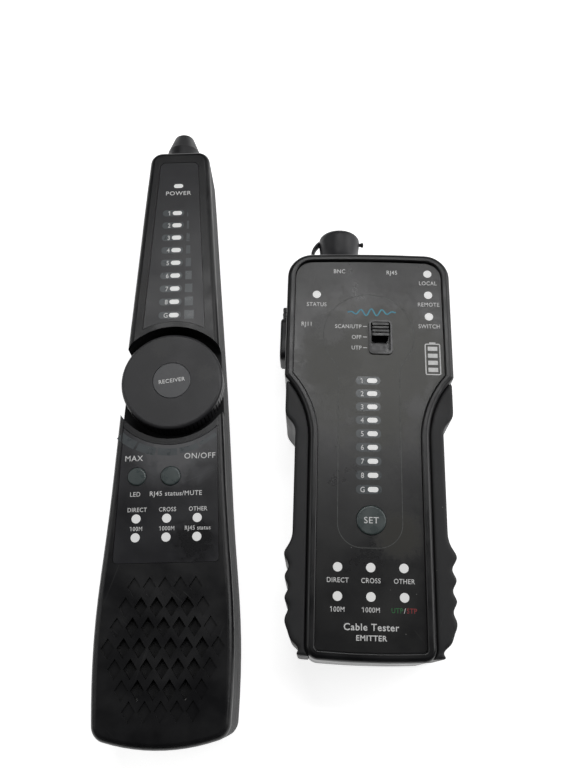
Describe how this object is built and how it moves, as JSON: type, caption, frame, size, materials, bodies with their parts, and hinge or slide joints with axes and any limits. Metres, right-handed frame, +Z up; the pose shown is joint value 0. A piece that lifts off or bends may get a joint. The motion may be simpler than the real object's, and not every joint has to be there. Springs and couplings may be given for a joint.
{
  "type": "network cable tester",
  "caption": "Handheld network cable tester: a waisted emitter box with coaxial, network and phone sockets, and a tapered receiver probe with a volume dial and speaker grille.",
  "frame": {"origin": "middle of the footprint of both units together, on the surface they lie on", "axes": "+Z up, away from the table, through the fronts of both units; +Y towards the units' heads; +X from the receiver to the emitter"},
  "size_m": [0.1272, 0.2418, 0.0339],
  "materials": {
    "case_plastic": "black ABS, fine satin texture with glossy edges",
    "grip_rubber": "black moulded rubber, satin",
    "cap_rubber": "black soft rubber",
    "face_overlay": "dark grey printed film, satin",
    "light_window": "milky white diffuser",
    "key_plastic": "grey green tinted film over a key",
    "slider_plastic": "glossy black",
    "dial_plastic": "dark grey satin",
    "dial_cap_plastic": "mid grey satin",
    "led_lens": "water clear epoxy",
    "board_laminate": "green solder mask",
    "component_plastic": "black moulded",
    "socket_plastic": "black moulded nylon",
    "contact_metal": "gold flashed",
    "plated_metal": "nickel plated brass",
    "insulator_white": "white acetal",
    "screw_steel": "zinc plated",
    "battery_can": "plain dark sleeve",
    "speaker_steel": "zinc plated pressing",
    "speaker_paper": "black paper",
    "speaker_cloth": "black dust cloth",
    "ferrite": "dark ferrite"
  },
  "bodies": {
    "emitter": {"emitter_battery": "battery_can", "emitter_battery_snap": "socket_plastic", "emitter_bnc_contact": "contact_metal", "emitter_bnc_insulator": "insulator_white", "emitter_bnc_jack": "plated_metal", "emitter_bnc_nut": "plated_metal", "emitter_bnc_strap": "cap_rubber", "emitter_board_parts": "component_plastic", "emitter_circuit_board": "board_laminate", "emitter_face_panel": "face_overlay", "emitter_front_shell": "case_plastic", "emitter_grip_left": "grip_rubber", "emitter_grip_right": "grip_rubber", "emitter_leds": "led_lens", "emitter_light_windows": "light_window", "emitter_rear_shell": "case_plastic", "emitter_rj11_anchor": "cap_rubber", "emitter_rj11_contacts": "contact_metal", "emitter_rj11_jack": "socket_plastic", "emitter_rj45_contacts": "contact_metal", "emitter_rj45_jack": "socket_plastic", "emitter_screws": "screw_steel", "emitter_set_switch": "component_plastic", "emitter_slide_switch": "component_plastic"},
    "receiver": {"receiver_battery": "battery_can", "receiver_battery_snap": "socket_plastic", "receiver_board_parts": "component_plastic", "receiver_circuit_board": "board_laminate", "receiver_front_shell": "case_plastic", "receiver_head_panel": "face_overlay", "receiver_key_switches": "component_plastic", "receiver_keypad_panel": "face_overlay", "receiver_lamp": "led_lens", "receiver_leds": "led_lens", "receiver_light_windows": "light_window", "receiver_port_board": "board_laminate", "receiver_potentiometer": "component_plastic", "receiver_probe_rod": "ferrite", "receiver_probe_tip": "cap_rubber", "receiver_rear_shell": "case_plastic", "receiver_rj45_contacts": "contact_metal", "receiver_rj45_jack": "socket_plastic", "receiver_screws": "screw_steel", "receiver_speaker_cone": "speaker_paper", "receiver_speaker_frame": "speaker_steel", "receiver_speaker_mesh": "speaker_cloth"},
    "set_key": {"emitter_set_key": "key_plastic", "emitter_set_plunger": "component_plastic"},
    "slide_knob": {"emitter_slide_knob": "slider_plastic"},
    "bnc_cap": {"emitter_bnc_cap": "cap_rubber"},
    "rj11_cover": {"emitter_rj11_cover": "cap_rubber"},
    "emitter_door": {"emitter_battery_door": "case_plastic"},
    "dial": {"receiver_dial": "dial_plastic", "receiver_dial_cap": "dial_cap_plastic", "receiver_pot_shaft": "screw_steel"},
    "lamp_key": {"receiver_lamp_key": "key_plastic", "receiver_lamp_plunger": "component_plastic"},
    "mute_key": {"receiver_mute_key": "key_plastic", "receiver_mute_plunger": "component_plastic"},
    "receiver_door": {"receiver_battery_door": "case_plastic"}
  },
  "joints": [
    {"name": "set_key_press", "type": "slide", "parent": "emitter", "child": "set_key", "axis": [0, 0, -1], "range_m": [0, 0.0004], "stiffness_N_per_m": 500},
    {"name": "mode_slide", "type": "slide", "parent": "emitter", "child": "slide_knob", "axis": [0.0291, 0.9996, 0], "range_m": [-0.006, 0]},
    {"name": "bnc_cap_pull", "type": "slide", "parent": "emitter", "child": "bnc_cap", "axis": [0.0291, 0.9996, 0], "range_m": [0, 0.014], "deforming": ["emitter_bnc_strap"]},
    {"name": "rj11_cover_hinge", "type": "hinge", "parent": "emitter", "child": "rj11_cover", "pos_m": [-0.00057, 0.0371, 0.015], "axis": [0, 0, 1], "range_deg": [-110, 0]},
    {"name": "emitter_door_slide", "type": "slide", "parent": "emitter", "child": "emitter_door", "axis": [0.0291, 0.9996, 0], "range_m": [-0.056, 0]},
    {"name": "receiver_lift", "type": "slide", "parent": "emitter", "child": "receiver", "axis": [0, 0, 1], "range_m": [0, 0.06]},
    {"name": "dial_turn", "type": "hinge", "parent": "receiver", "child": "dial", "pos_m": [-0.04197, 0.00388, 0.03], "axis": [0, 0, 1], "range_deg": [-300, 0]},
    {"name": "lamp_key_press", "type": "slide", "parent": "receiver", "child": "lamp_key", "axis": [0, 0, -1], "range_m": [0, 0.0004], "stiffness_N_per_m": 500},
    {"name": "mute_key_press", "type": "slide", "parent": "receiver", "child": "mute_key", "axis": [0, 0, -1], "range_m": [0, 0.0004], "stiffness_N_per_m": 500},
    {"name": "receiver_door_swing", "type": "hinge", "parent": "receiver", "child": "receiver_door", "pos_m": [-0.0405, -0.07111, 0.0006], "axis": [0.9998, 0.0195, 0], "range_deg": [-80, 0]}
  ]
}
